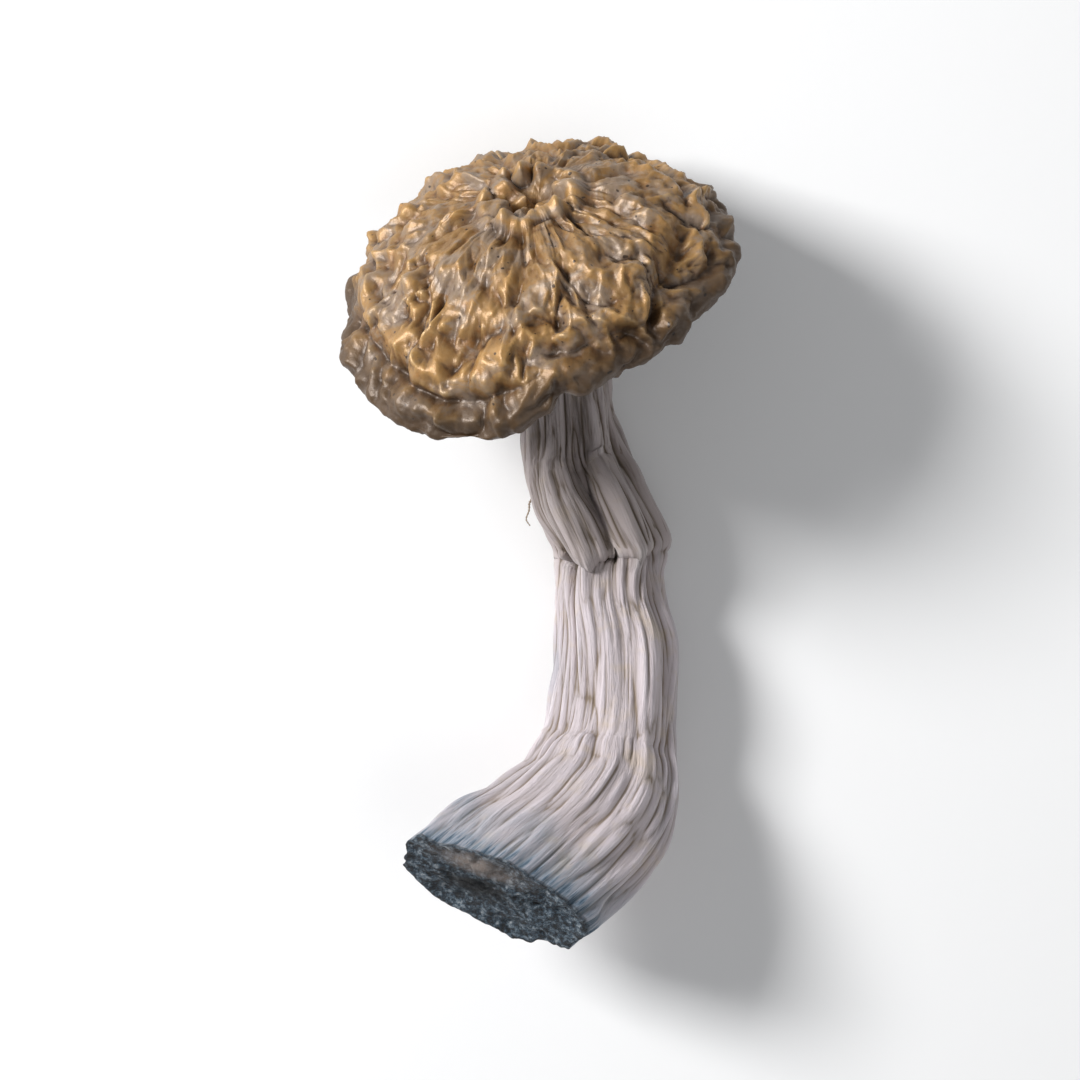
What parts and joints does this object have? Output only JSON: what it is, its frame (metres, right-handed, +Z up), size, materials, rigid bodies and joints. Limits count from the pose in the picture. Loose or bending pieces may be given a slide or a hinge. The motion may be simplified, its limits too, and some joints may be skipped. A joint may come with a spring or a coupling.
{
  "type": "magic mushroom",
  "caption": "Dried mushroom lying on its side: wrinkled dimpled cap with a curled rim, gills below, and a pleated stem bent towards a wide, obliquely cut foot.",
  "frame": {"origin": "on the table, under the centre of the object's box", "axes": "+Z up from the table the mushroom lies on, +Y from the cut foot towards the cap, +X to the right seen from above with the cap away"},
  "size_m": [0.0362, 0.0728, 0.0291],
  "materials": {
    "cap_skin": "wrinkled, satin golden brown skin",
    "gills": "matt, dark purplish brown",
    "stem_flesh": "matt, fibrous off-white, stained blue at the cut"
  },
  "bodies": {
    "root": {"cap": "cap_skin", "gills": "gills", "stem": "stem_flesh"}
  },
  "joints": []
}
